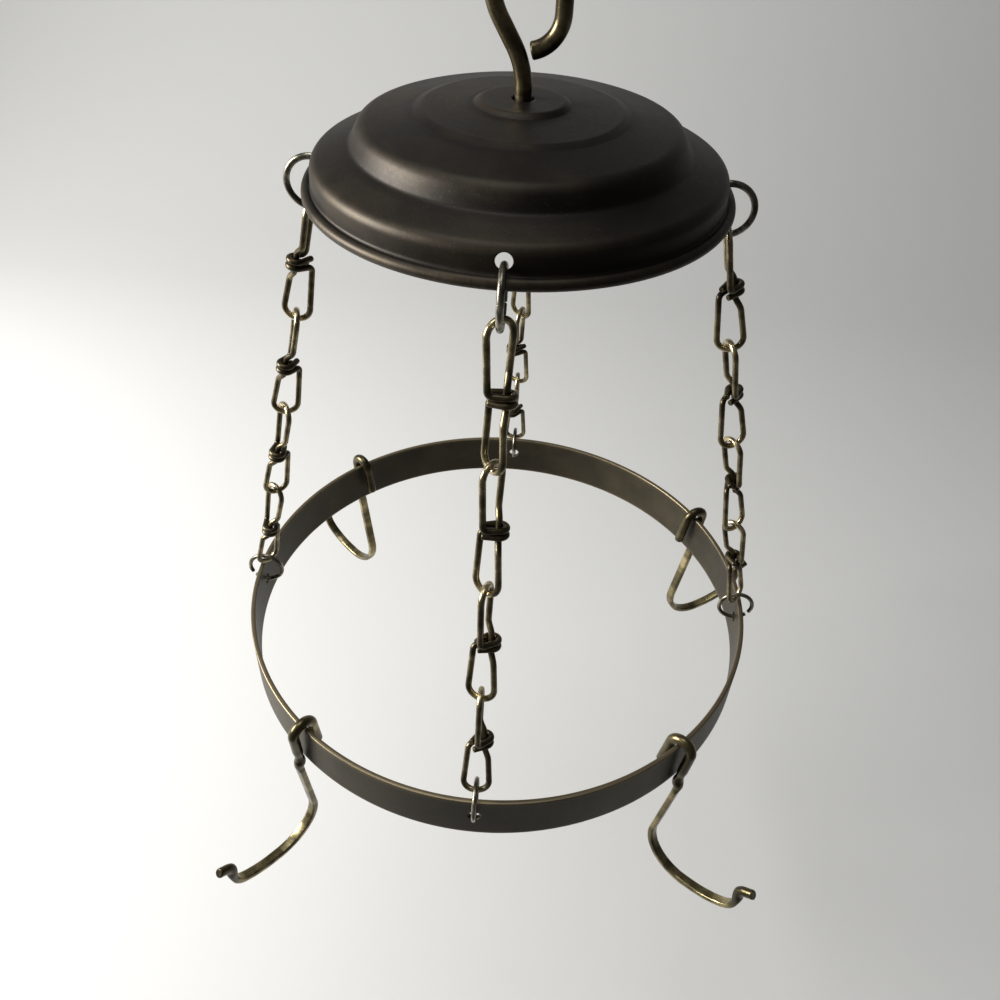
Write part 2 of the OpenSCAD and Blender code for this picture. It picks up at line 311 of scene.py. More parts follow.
def aged_brass(name, dark, mid, bright, red, rough):
    """Plated wire gone dark: an olive film, brighter rubs where it's handled, and patches of brown bloom.

    Draw lines run along the bar: noise stretched along the bar's own second coordinate.
    """
    material, shader, place, bar, wear, grime = new_material(name)
    cloud = place.noise(160.0, 5.0, 0.6)
    fine = place.noise(900.0, 4.0, 0.65)
    broad = place.noise(45.0, 3.0, 0.5)
    lines = bar.node("ShaderNodeMapping", {"Vector": bar, "Scale": (40.0, 0.35, 1.0)}).noise(1.0, 3.0, 0.6)
    rub = (wear * 0.8 + cloud * 0.3 + fine * 0.25 + broad * 0.45 - grime * 0.35).between(0.5, 1.15)
    tone = rub.colours((0.0, dark), (0.5, mid), (1.0, bright))
    bloom = (broad * 0.7 + cloud * 0.35 + grime * 0.25).between(0.62, 1.0)
    tone = tone.tint(red, bloom * 0.4)
    dirt = (grime * 0.7 + fine * 0.5).between(0.55, 1.15)
    tone = tone.tint((0.02, 0.017, 0.011), dirt * 0.55)
    specks = place.noise(2600.0, 2.0, 0.5).between(0.66, 0.72)
    tone = tone.tint((0.03, 0.024, 0.016), specks * 0.6)
    bump = cloud * 0.25 + fine * 0.25 + lines * 0.5 - specks * 0.4
    normal = bump.node("ShaderNodeBump", {"Strength": 0.35, "Distance": 0.00012, "Height": bump})
    connect(
        shader,
        Base_Color=tone,
        Metallic=0.9 - dirt * 0.35,
        Roughness=rough + 0.14 * fine + dirt * 0.2 - rub * 0.08,
        Normal=normal,
    )
    return material


hook_brass = aged_brass(
    "hook brass", (0.06, 0.047, 0.025), (0.19, 0.152, 0.08), (0.5, 0.41, 0.23), (0.13, 0.08, 0.04), 0.25
)
line = bend_bar(
    [
        (HOOK_BEND_Z - SHANK_END, 180, SHANK_LEAN, SOFT_BEND),
        (HOOK_SLOPE, 180, SHANK_LEAN, FIRM_BEND),
        (0, 0, 180, EYE_RADIUS),
        (EYE_FLAT, 0, EYE_CLOSE, EYE_RADIUS),
        (1.2, 0, 0, 0),
    ],
    (0, 0, SHANK_END),
    np.eye(3),
)
reach = along(line)
below = np.clip((reach - 3.0) / 1.2, 0, 1) * np.clip((14.5 - reach) / 1.2, 0, 1)
thread = 0.16 * below * (0.5 + 0.5 * np.cos(2 * np.pi * reach / THREAD_PITCH))
half = HOOK_BAR / 2 - thread
skin, quads, lids, u, v = bar_skin(line, (1, 0, 0), half, half, 11, 48)
height = skin[:, 2]
worn = np.exp(-(((height - 1.5) / 5.0) ** 2)) * 0.5 + 0.22 + 0.2 * ripple(skin[:, 0] + skin[:, 2], 5, 31)
dirty = np.clip(1 - np.abs(height - CROWN_Z - 1.0) / 3.0, 0, 1) * 0.9 + np.where(height < CROWN_Z, 0.4, 0)
hook = put("ceiling_hook_bar", (skin, quads, lids, u, v, np.stack([worn, dirty], 1)), hook_brass)
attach(hook, "hook")
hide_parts("ceiling_hook")

# ---------------------------------------------------------------- washer and nut
# Under the crown: a flat washer that carries the dome, and a chamfered hexagon nut on the shank's thread.
# Plain steel gone dark, with bright corners.
WASHER_RADIUS = 9.0
NUT_FLATS = 11.1


def lathe(profile, count, marks):
    """Closed profile turned round Z: (r cos t, r sin t, z), faces outwards. Returns a part for put().

    A profile that runs clockwise, with a sum of r*dz - z*dr below 0, has its faces turned over. marks
    holds the rub and grime at each profile point.
    """
    profile = np.array(profile, float)
    m = len(profile)
    t = np.arange(count) * 2 * np.pi / count
    r, z = profile.T
    skin = np.stack([np.outer(np.cos(t), r), np.outer(np.sin(t), r), np.tile(z, (count, 1))], -1)
    i, j = np.meshgrid(np.arange(count), np.arange(m), indexing="ij")
    i, j = i.ravel(), j.ravel()
    here, across = i * m, (i + 1) % count * m
    quads = np.stack([here + j, across + j, across + (j + 1) % m, here + (j + 1) % m], 1)
    s = np.concatenate([along(profile), [along(profile)[-1] + np.linalg.norm(profile[0] - profile[-1])]])
    u = np.stack([i, i + 1, i + 1, i], 1) / count
    v = s[np.stack([j, j, j + 1, j + 1], 1)]
    way = 1 if np.dot(r, np.roll(z, -1)) > np.dot(z, np.roll(r, -1)) else -1
    wear = np.tile(np.array(marks, float), (count, 1))
    return skin.reshape(-1, 3), quads[:, ::way], [], u[:, ::way], v[:, ::way], wear


def dark_iron(name, dark, mid, rub_tone, rough, marks, metal, wear_share):
    """Bronzed steel: a near-black brown film, brown where it's thin, paler and smoother where it's rubbed; on
    the dome's step crests this pale rub tone is partly a painted highlight.

    marks "spun" adds fine rings round Z, from noise of the distance to the axis. "rolled" adds level
    lines, from noise of the height.
    """
    material, shader, place, bar, wear, grime = new_material(name)
    broad = place.noise(16.0, 4.0, 0.55)
    cloud = place.noise(70.0, 5.0, 0.6)
    fine = place.noise(520.0, 4.0, 0.65)
    height = place.node("ShaderNodeSeparateXYZ", {0: place}, out=2)
    flat = place.node("ShaderNodeVectorMath", {0: place, 1: (1.0, 1.0, 0.0)}, operation="MULTIPLY")
    radius = flat.node("ShaderNodeVectorMath", {0: flat}, out=1, operation="LENGTH")
    if marks == "spun":
        grain = {0: radius * 1500.0 + broad * 3.0, 1: height * 500.0, 2: cloud * 0.6}
    else:
        grain = {0: height * 1400.0 + broad * 2.0, 1: cloud * 1.5, 2: radius * 90.0}
    lines = place.node("ShaderNodeCombineXYZ", grain).noise(1.0, 3.0, 0.6)
    film = (broad * 0.7 + cloud * 0.45 + wear * wear_share * 0.4 - grime * 0.35).between(0.42, 0.98)
    tone = film.colours((0.0, dark), (1.0, mid))
    # Pale rub tint: real rubbing, and on the dome's step crests also a painted highlight.
    rub = (wear * wear_share + cloud * 0.35 + fine * 0.3 - 0.25).between(0.45, 1.0)
    tone = tone.tint(rub_tone, rub * 0.65)
    dust = (grime * 0.6 + fine * 0.5 + broad * 0.25).between(0.75, 1.15)
    tone = tone.tint((0.085, 0.075, 0.06), dust * 0.35)
    specks = place.noise(1500.0, 2.0, 0.5).between(0.64, 0.72)
    tone = tone.tint((0.11, 0.085, 0.055), specks * 0.22)
    bump = lines * 0.35 + fine * 0.35 + cloud * 0.5 - specks * 0.25
    normal = bump.node("ShaderNodeBump", {"Strength": 0.3, "Distance": 0.00018, "Height": bump})
    connect(
        shader,
        Base_Color=tone,
        Metallic=metal - dust * 0.3,
        Roughness=rough + 0.14 * cloud + 0.12 * fine + dust * 0.2 - rub * 0.12 + lines * 0.06,
        Normal=normal,
    )
    return material


fitting_iron = dark_iron(
    "fitting iron", (0.03, 0.027, 0.024), (0.1, 0.09, 0.08), (0.3, 0.28, 0.25), 0.38, "rolled", 0.75, 0.8
)
washer_low = WASHER_TOP - WASHER_THICK
washer_bore = HOOK_BAR / 2 + 0.02
washer_outline = [
    (washer_bore, washer_low),
    (WASHER_RADIUS - 0.2, washer_low),
    (WASHER_RADIUS, washer_low + 0.2),
    (WASHER_RADIUS, WASHER_TOP - 0.25),
    (WASHER_RADIUS - 0.25, WASHER_TOP),
    (washer_bore, WASHER_TOP),
]
washer_marks = [(0.2, 0.5), (0.7, 0), (1, 0), (1, 0), (0.7, 0), (0.1, 0.5)]
washer = put("hook_washer_disc", lathe(washer_outline, 72, washer_marks), fitting_iron)
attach(washer, "hook")
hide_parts("hook_washer")

nut_high = washer_low
nut_low = nut_high - NUT_HEIGHT
corner = NUT_FLATS / 2 / math.cos(math.radians(30))
nut_outline = [
    (washer_bore, nut_low),
    (NUT_FLATS / 2 * 0.97, nut_low),
    (NUT_FLATS / 2, nut_low + 0.12),
    (corner, nut_low + 0.75),
    (corner, nut_low + 2.0),
    (corner, nut_high - 2.0),
    (corner, nut_high - 0.1),
    (corner - 0.1, nut_high),
    (washer_bore, nut_high),
]
nut_marks = [(0, 0.8), (0.5, 0.2), (0.8, 0), (0.9, 0), (0.3, 0), (0.3, 0), (0.5, 0.2), (0.4, 0.4), (0, 0.6)]
nut_part = lathe(nut_outline, 144, nut_marks)
nut_skin, nut_wear = nut_part[0], nut_part[5]
facet = np.mod(np.arctan2(nut_skin[:, 1], nut_skin[:, 0]) + np.pi / 6, np.pi / 3) - np.pi / 6
wall = NUT_FLATS / 2 / np.cos(facet)
out = np.hypot(nut_skin[:, 0], nut_skin[:, 1])
nut_skin[:, :2] *= (np.minimum(out, wall) / out)[:, None]
nut_wear[:, 0] = np.where(np.abs(facet) > 0.45, 1.0, nut_wear[:, 0] * 0.5)
nut = put("hook_nut_hexagon", nut_part, fitting_iron)
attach(nut, "hook")
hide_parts("hook_nut")

# ---------------------------------------------------------------- dome
# Thin sheet spun into steps: a rolled bead, an upright skirt with four ring holes, a sloping shelf, a
# tall bulge, a low step and a small crown ring. Near-black brown, paler on the rounds, partly where they
# get rubbed and partly as a painted highlight along the step crests.
DOME_HEIGHT = 34.5
RIM_Z = CROWN_Z - DOME_HEIGHT
BEAD = 2.2
BEAD_RING = 81.8
SKIRT_FOOT = BEAD_RING - BEAD + SHEET / 2
SKIRT_TOP = SKIRT_FOOT - 0.5
SKIRT_HOLE = 3.0
HOLE_HEIGHT = 9.2
DOME_STEPS = 480
FOLD_SPACING = 0.7
dome_line = [
    (SKIRT_FOOT, BEAD),
    (SKIRT_TOP, DOME_HEIGHT * 0.383),
    (SKIRT_TOP * 0.810, DOME_HEIGHT * 0.530),
    (SKIRT_TOP * 0.763, DOME_HEIGHT * 0.763),
    (SKIRT_TOP * 0.515, DOME_HEIGHT * 0.866),
    (SKIRT_TOP * 0.470, DOME_HEIGHT * 0.902),
    (SKIRT_TOP * 0.230, DOME_HEIGHT * 0.940),
    (SKIRT_TOP * 0.198, DOME_HEIGHT - SHEET / 2),
    (4.225, DOME_HEIGHT - SHEET / 2),
]
dome_bends = [0, 4.2, 3, 6, 3.2, 3.2, 2, 2, 0]


def folded(path, bends):
    """Line of straight stretches and round bends through the corners of a path.

    Each corner's arc starts bend*tan(turn/2) before it. Returns points, left-hand normals and turning.
    """
    path = np.array(path, float)
    points, normals, turning = [], [], []
    before = path[0]
    for k in range(1, len(path)):
        heading = (path[k] - path[k - 1]) / np.linalg.norm(path[k] - path[k - 1])
        if k == len(path) - 1:
            stop, angle = path[k], 0.0
        else:
            ahead = (path[k + 1] - path[k]) / np.linalg.norm(path[k + 1] - path[k])
            cross = heading[0] * ahead[1] - heading[1] * ahead[0]
            angle = math.atan2(cross, float(np.dot(heading, ahead)))
            stop = path[k] - heading * bends[k] * math.tan(abs(angle) / 2)
        left = np.array([-heading[1], heading[0]])
        for part in np.linspace(0, 1, max(3, int(np.linalg.norm(stop - before) / FOLD_SPACING)))[:-1]:
            points.append(before + (stop - before) * part)
            normals.append(left)
            turning.append(0.0)
        if angle:
            centre = stop + left * bends[k] * np.sign(angle)
            count = max(5, int(abs(angle) * bends[k] / FOLD_SPACING * 1.4))
            for part in np.linspace(0, 1, count):
                c, d = math.cos(angle * part), math.sin(angle * part)
                spoke = stop - centre
                points.append(centre + np.array([c * spoke[0] - d * spoke[1], d * spoke[0] + c * spoke[1]]))
                normals.append(np.array([c * left[0] - d * left[1], d * left[0] + c * left[1]]))
                turning.append(np.sign(angle) / bends[k])
            before = points.pop()
            normals.pop()
            turning.pop()
    points.append(path[-1])
    normals.append(normals[-1])
    turning.append(0.0)
    return np.array(points), np.array(normals), np.array(turning)


def pierce(part, count, steps, across, skins, height, radius, surface):
    """Cuts round holes through both skins of a lathe part, at some angle steps and one height.

    The quads in a window of each skin give way to rings that run from the window's own edge to the
    hole's circle, (1 - k)*edge + k*circle in angle and height, and a wall with eased edges joins the
    two. skins gives the lowest and highest column of the outer skin's window and of the inner one's, and
    surface(angle, height, skin, sunk) the point on a skin. Wear is read off the skin's own column at that
    height, and the hole's edge has its own.
    """
    skin, quads, lids, u, v, wear = part
    m = len(skin) // count
    base = len(skin)
    keep = np.ones(len(quads), bool)
    vertices, marks, fresh = [skin], [wear], []
    for step in steps:
        middle = 2 * np.pi * step / count
        alpha, ends = None, []
        for which, (start, stop) in enumerate(skins):
            way = 1 if stop > start else -1
            columns = np.arange(start, stop + way, way)
            rows = np.arange(step - across, step + across + 1)
            edge = np.array(
                [(i, columns[0]) for i in rows[:-1]]
                + [(rows[-1], j) for j in columns[:-1]]
                + [(i, columns[-1]) for i in rows[:0:-1]]
                + [(rows[0], j) for j in columns[:0:-1]]
            )
            index = edge[:, 0] % count * m + edge[:, 1]
            column = step % count * m + columns
            column = column[np.argsort(skin[column, 2])]
            for i in rows[:-1] % count:
                keep[i * m + np.arange(min(start, stop), max(start, stop))] = False
            angle = 2 * np.pi * edge[:, 0] / count
            level, far = skin[index, 2], np.hypot(skin[index, 0], skin[index, 1])
            if alpha is None:
                alpha = np.arctan2(level - height, (angle - middle) * far)
            ring = index
            fine = [(k, 0.3, 0) for k in (0.07, 0.15, 0.24, 0.34, 0.45, 0.57, 0.7, 0.85, 1)]
            for k, grow, sunk in fine + [(1, 0.1, 0.06), (1, 0, 0.22)]:
                spot = (1 - k) * angle + k * (middle + (radius + grow) * np.cos(alpha) / far)
                rise = (1 - k) * level + k * (height + (radius + grow) * np.sin(alpha))
                vertices.append(surface(spot, rise, which, sunk))
                here = [np.interp(rise, skin[column, 2], wear[column, c]) for c in (0, 1)]
                marks.append(np.stack(here, 1) * (1 - k**9) + np.array([0.6, 0.3]) * k**9)
                inner = base + np.arange(len(alpha))
                base += len(alpha)
                band = np.stack([ring, np.roll(ring, -1), np.roll(inner, -1), inner], 1)
                fresh.append(band if which == 0 else band[:, ::-1])
                ring = inner
            ends.append(ring)
        fresh.append(np.stack([ends[0], np.roll(ends[0], -1), np.roll(ends[1], -1), ends[1]], 1))
    fresh = np.concatenate(fresh)
    return (
        np.concatenate(vertices),
        np.concatenate([quads[keep], fresh]),
        lids,
        np.concatenate([u[keep], np.zeros(fresh.shape)]),
        np.concatenate([v[keep], np.zeros(fresh.shape)]),
        np.concatenate(marks),
    )


dome_bronze = dark_iron(
    "dome bronze",
    (0.012, 0.0095, 0.007),
    (0.036, 0.0275, 0.0175),
    (0.135, 0.11, 0.073),
    0.34,
    "spun",
    0.75,
    0.75,
)
fold, outward, turning = folded(dome_line, dome_bends)
start = int(np.argmax(fold[:, 1] > 4.9))
inside = fold + outward * SHEET / 2
outside = (fold - outward * SHEET / 2)[start:]
curl = np.radians(np.arange(122, -181, -11.0))
bead_outline = np.stack([BEAD_RING + BEAD * np.cos(curl), BEAD + BEAD * np.sin(curl)], 1)
outline = np.concatenate([inside, outside[::-1], bead_outline[:-1]])
soften = np.ones(9) / 9
bulge = np.convolve(turning, soften, "same")
# Paler band along the convex step crests: partly rub, partly a painted highlight of the crest lines.
crest_rub_and_highlight = np.clip(bulge * 2.4, 0, 0.8)
hollow = np.clip(-bulge * 3.0, 0, 1)
bead_wear = np.clip(0.25 + 0.4 * np.cos(curl[:-1] - 0.3), 0, 1)
bead_grime = np.clip(np.sin(curl[:-1] - 1.3), 0, 1)
dome_marks = np.concatenate(
    [
        np.stack([hollow * 0.3, 0.5 + 0 * hollow], 1),
        np.stack([crest_rub_and_highlight, hollow], 1)[start:][::-1],
        np.stack([bead_wear, bead_grime], 1),
    ]
)
outline[:, 1] += RIM_Z
dome_part = lathe(outline, DOME_STEPS, dome_marks)
low, high = int(np.argmax(fold[:, 1] > 5.1)), int(np.argmax(fold[:, 1] > 13.2))
inner_count, outer_count = len(inside), len(outside)
outer_low = inner_count + outer_count - 1 - (low - start)
outer_high = inner_count + outer_count - 1 - (high - start)


def dome_surface(angle, height, which, sunk):
    """Point on the skirt: r from the fold's own line at that height, sunk towards the sheet's middle."""
    side = (fold - outward * SHEET / 2) if which == 0 else inside
    r = np.interp(height - RIM_Z, side[: high + 6, 1], side[: high + 6, 0])
    r = r - sunk if which == 0 else r + sunk
    return np.stack([r * np.cos(angle), r * np.sin(angle), height], -1)


dome_part = pierce(
    dome_part,
    DOME_STEPS,
    [DOME_STEPS // 4 * k for k in range(4)],
    6,
    [(outer_low, outer_high), (low, high)],
    RIM_Z + HOLE_HEIGHT,
    SKIRT_HOLE,
    dome_surface,
)
place = dome_part[0]
swirl = np.arctan2(place[:, 1], place[:, 0])
away = np.hypot(place[:, 0], place[:, 1])
dent = 0.1 * np.sin(2 * swirl + 0.7)
dent += 0.07 * np.sin(3 * swirl + away / 17)
dent += 0.05 * np.sin(5 * swirl - away / 9)
place[:, 2] += dent * np.clip((away - 12) / 40, 0, 1) * np.clip((79 - away) / 6, 0, 1)
dome = put("dome_spun_sheet", dome_part, dome_bronze)
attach(dome, "dome")
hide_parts("dome")

# ---------------------------------------------------------------- chains and rings
# Four chains of knotted double-loop links between a butted ring in the skirt and an open ring in the
# hoop. A link is one wire: it makes both loops, crosses its own waist, and each cut end wraps the strand.
WIRE = 2.7
LOWER_WIRE = 2.2
TOP_RING_OUTSIDE = 23.5
TOP_RING = (TOP_RING_OUTSIDE - WIRE) / 2
LOWER_RING_OUTSIDE = 20
LOWER_RING = (LOWER_RING_OUTSIDE - LOWER_WIRE) / 2
LINK_WIDTH = 14
LINK_GAP = 0.4
SIDE_LEAN = math.radians(4)
KNOT = 200
CUT_TAIL = 6.5
RING_DEPTH = 10.4
DROP = 225.2
HOOP_RADIUS = 135.0
BAND = 2.5
HOOP_Z = RIM_Z - DROP
CHAIN_R = SKIRT_FOOT
CHAIN_Z = RIM_Z + HOLE_HEIGHT - SKIRT_HOLE + WIRE / 2 + 0.3
REACH = HOOP_RADIUS - BAND / 2 - CHAIN_R
FALL = CHAIN_Z - (HOOP_Z - RING_DEPTH)
LEAN = math.degrees(math.atan2(REACH, FALL))
CHAIN = math.hypot(REACH, FALL)
HOLD = WIRE + LINK_GAP
FIRST = 2 * TOP_RING - HOLD
LAST = CHAIN - 2 * LOWER_RING + (WIRE + LOWER_WIRE) / 2 + LINK_GAP
SPAN = (LAST - FIRST + 3 * HOLD) / 4
LEG = (LINK_WIDTH - WIRE) / 2
WIRE_SPACING = 0.5
WIRE_AROUND = 22
RING_AROUND = 24
SIDES = {"front": -90, "right": 0, "back": 90, "left": 180}
TURNED = {
    "front": (40, 55, 75, 90),
    "right": (0, 17, 35, 50),
    "back": (40, 55, 75, 90),
    "left": (0, 17, 35, 50),
}


def rounded(corners, radii):
    """Centre line through corner points, each corner rounded with its own radius.

    With a and b the unit headings before and after a corner, t the angle between them and n the unit
    inner side, the arc starts radius*tan(t/2) before the corner and its points are
    start + radius*(1 - cos f)*n + radius*sin f*a, with f from 0 to t.
    """
    line = [corners[0]]
    for before, corner, after, radius in zip(corners, corners[1:], corners[2:], radii[1:]):
        a = (corner - before) / np.linalg.norm(corner - before)
        b = (after - corner) / np.linalg.norm(after - corner)
        turn = math.acos(float(a @ b))
        n = (b - (a @ b) * a) / math.sin(turn)
        start = corner - radius * math.tan(turn / 2) * a
        f = np.linspace(0, turn, int(turn * radius / WIRE_SPACING + turn * 8) + 3)[:, None]
        line.extend(start + radius * (1 - np.cos(f)) * n + radius * np.sin(f) * a)
    line.append(corners[-1])
    line = np.array(line)
    s = along(line)
    even = np.linspace(0, s[-1], int(s[-1] / WIRE_SPACING))
    return np.stack([np.interp(even, s, line[:, k]) for k in range(3)], 1)


def link_line(knot, tail):
    """Centre line of a link, from one cut end to the other, with its middle at the origin.

    The loops' sides lean in by SIDE_LEAN, so at a height z a side is
    LEG*tan(45 degrees + SIDE_LEAN/2) - (SPAN/2 - z)*tan(SIDE_LEAN) from the middle. One side of each
    loop runs into the strand that crosses the waist; the other turns level towards that strand, goes
    round it by the knot angle and is cut off. The lower half is the upper one turned half a turn about
    the line x = y, (x, y, z) -> (y, x, -z).
    """
    crest = SPAN / 2

    def side(z):
        return LEG * math.tan(math.radians(45) + SIDE_LEAN / 2) - (crest - z) * math.tan(SIDE_LEAN)

    waist = 0.6 * side(0)
    wrap = WIRE + 0.2
    level = wrap / 2
    gap = math.hypot(waist, waist + side(level))
    heading = math.degrees(math.atan2(waist + side(level), waist) - math.asin(wrap / gap))
    far = wrap / math.cos(math.radians(knot / 4))
    hub = np.array([waist, waist, level])

    def towards(degrees):
        return np.array([math.cos(math.radians(degrees)), math.sin(math.radians(degrees)), 0])

    half = [
        (waist, waist, 4.5),
        (0, side(8.5), 8.5),
        (0, side(crest), crest),
        (0, -side(crest), crest),
        (0, -side(level), level),
        hub + far * towards(heading - 90 + knot / 4),
        hub + far * towards(heading - 90 + knot * 3 / 4),
        hub + wrap * towards(heading - 90 + knot) + tail * towards(heading + knot),
    ]
    radii = [4.5, 4.5, LEG, LEG, 2.2, wrap, wrap, 0]
    half = np.array([np.array(point, float) for point in half])
    other = half[::-1, [1, 0, 2]] * (1, 1, -1)
    return rounded(np.concatenate([other, half]), radii[::-1] + radii)


def on_chain(points, side, distance, turned):
    """Puts points at a distance down a chain: turned about it, leaned with it, and swung to its side."""
    points = points @ turn_matrix("Z", turned).T + (0, 0, -distance)
    points = points @ turn_matrix("Y", -LEAN).T + (CHAIN_R, 0, CHAIN_Z)
    return points @ turn_matrix("Z", SIDES[side]).T


def ring_line(radius, cut_at, cut):
    """A ring in the XZ plane that starts and ends beside its cut."""
    a = np.radians(np.linspace(cut_at + cut / 2, cut_at + 360 - cut / 2, int(radius * 14)))
    return np.stack([radius * np.cos(a), 0 * a, radius * np.sin(a)], 1)


chain_brass = aged_brass(
    "chain brass", (0.06, 0.048, 0.026), (0.24, 0.197, 0.11), (0.6, 0.51, 0.32), (0.16, 0.1, 0.052), 0.25
)
ring_brass = aged_brass(
    "ring brass", (0.06, 0.054, 0.04), (0.25, 0.23, 0.175), (0.58, 0.54, 0.44), (0.13, 0.09, 0.06), 0.24
)
for number, side in enumerate(SIDES):
    for name, radius, wire, distance, cut_at, cut in (
        ("top_ring", TOP_RING, WIRE, TOP_RING, 205, 2.2),
        ("lower_ring", LOWER_RING, LOWER_WIRE, CHAIN - LOWER_RING, -48, 16),
    ):
        local = ring_line(radius, cut_at, cut)
        spot = on_chain(local, side, distance, 0)
        middle = on_chain(np.zeros((1, 3)), side, distance, 0)[0]
        first = spot[0] - middle
        skin, quads, lids, u, v = bar_skin(spot, first, wire / 2, wire / 2, 40 + number, RING_AROUND)
        worn = 0.35 + 0.25 * ripple(skin[:, 2] + skin[:, 0], 60 + number, 17)
        marks = np.stack([worn, np.full(len(skin), 0.12)], 1)
        ring = put(f"{name}_{side}_wire", (skin, quads, lids, u, v, marks), ring_brass)
        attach(ring, f"{name}_{side}")
        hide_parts(f"{name}_{side}")
    for index in range(4):
        seed = 100 + number * 10 + index
        vary = np.random.default_rng(seed)
        local = link_line(KNOT - vary.uniform(0, 9), CUT_TAIL - vary.uniform(0, 1.2))
        distance = FIRST + SPAN / 2 + index * (SPAN - HOLD)
        spot = on_chain(local, side, distance, TURNED[side][index])
        skin, quads, lids, u, v = bar_skin(spot, (0.3, 0.9, 0.1), WIRE / 2, WIRE / 2, seed, WIRE_AROUND)
        s = spread(along(local), WIRE_AROUND)
        from_waist = np.abs(spread(local, WIRE_AROUND)[:, 2])
        near_knot = np.clip(1 - from_waist / 7.5, 0, 1)
        near_crest = np.clip((from_waist - SPAN / 2 + 3.5) / 3.5, 0, 1)
        worn = 0.3 + 0.22 * ripple(s, seed, 29) + 0.35 * near_crest
        marks = np.stack([worn, near_knot * 0.75 + 0.05], 1)
        link = put(f"{side}_link_{index + 1}_wire", (skin, quads, lids, u, v, marks), chain_brass)
        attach(link, f"{side}_link_{index + 1}")
        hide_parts(f"{side}_link_{index + 1}")

# ---------------------------------------------------------------- hoop
# A flat strip rolled into a ring, with eased edges, four punched holes below its top edge and one
# ground weld. Dark bronze, rubbed olive-brown along the edges and where the pot hooks slide.
BAND_HEIGHT = 25.4
BAND_HOLE = 3.0
HOLE_DEPTH = 11
HOOP_STEPS = 600
hoop_bronze = dark_iron(
    "hoop bronze", (0.03, 0.025, 0.016), (0.078, 0.063, 0.037), (0.23, 0.185, 0.115), 0.34, "rolled", 0.8, 0.9
)
levels = np.linspace(0.7, BAND_HEIGHT - 0.7, 31)
ease = [(0.05, 0.35), (0.2, 0.14), (0.45, 0.03)]
inner_r, outer_r = HOOP_RADIUS - BAND, HOOP_RADIUS
low_edge = [(inner_r + a, b) for a, b in ease] + [(outer_r - a, b) for a, b in ease[::-1]]
high_edge = [(r, BAND_HEIGHT - z) for r, z in low_edge[::-1]]
outer_wall = [(outer_r, z) for z in levels]
inner_wall = [(inner_r, z) for z in levels[::-1]]
strip = np.array(low_edge + outer_wall + high_edge + inner_wall)
edge_marks = np.array([(1.0, 0.0)] * 6)
wall_rub = np.clip(1 - np.minimum(levels, BAND_HEIGHT - levels) / 2.5, 0, 1)
strip_marks = np.concatenate(
    [
        edge_marks,
        np.stack([0.15 + 0.75 * wall_rub, 0 * levels], 1),
        edge_marks,
        np.stack([0.2 + 0.6 * wall_rub[::-1], 0.1 + 0 * levels], 1),
    ]
)
strip[:, 1] += HOOP_Z - BAND_HEIGHT
hoop_part = lathe(strip, HOOP_STEPS, strip_marks)
first_level = int(np.argmax(levels > BAND_HEIGHT - HOLE_DEPTH - 4.6))
last_level = int(np.argmax(levels > BAND_HEIGHT - HOLE_DEPTH + 4.2))
outer_base = len(low_edge)
inner_base = len(strip) - 1


def hoop_surface(angle, height, which, sunk):
    """Point on the band's outer or inner face, sunk towards its middle."""
    r = np.full_like(angle, outer_r - sunk if which == 0 else inner_r + sunk)
    return np.stack([r * np.cos(angle), r * np.sin(angle), height], -1)


hoop_part = pierce(
    hoop_part,
    HOOP_STEPS,
    [HOOP_STEPS // 4 * k for k in range(4)],
    4,
    [
        (outer_base + first_level, outer_base + last_level),
        (inner_base - first_level, inner_base - last_level),
    ],
    HOOP_Z - HOLE_DEPTH,
    BAND_HOLE,
    hoop_surface,
)
place = hoop_part[0]
swirl = np.arctan2(place[:, 1], place[:, 0])
dent = 0.12 * np.sin(2 * swirl + 1.1)
dent += 0.1 * np.sin(3 * swirl + 0.4)
dent += 0.05 * np.sin(7 * swirl + place[:, 2] / 9)
seam = 0.05 * np.exp(-(((swirl - 2.72) * HOOP_RADIUS / 1.6) ** 2))
place[:, :2] *= (1 + (dent + seam - 0.06) / HOOP_RADIUS)[:, None]
hoop = put("hoop_rolled_strip", hoop_part, hoop_bronze)
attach(hoop, "hoop")
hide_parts("hoop")

# ---------------------------------------------------------------- pot hooks
# A round bar bent over the band, pinched at the neck, hammered flat along the bow and left round at the
# turned-out, cropped tip. Antique brass plate, bright where the flats were struck.
POT_BAR = 5.3
BOW_THICK = 3.4
BOW_RADIUS = 43
FLAT_FROM = 63
FLAT_TO = 180
SADDLE_INSIDE = 2.95
SADDLE = SADDLE_INSIDE + POT_BAR / 2
SADDLE_GAP = 0.3
SADDLE_SHIFT = 0.9
BACK_LEG = 17
BACK_TILT = 8
POT_AROUND = 36
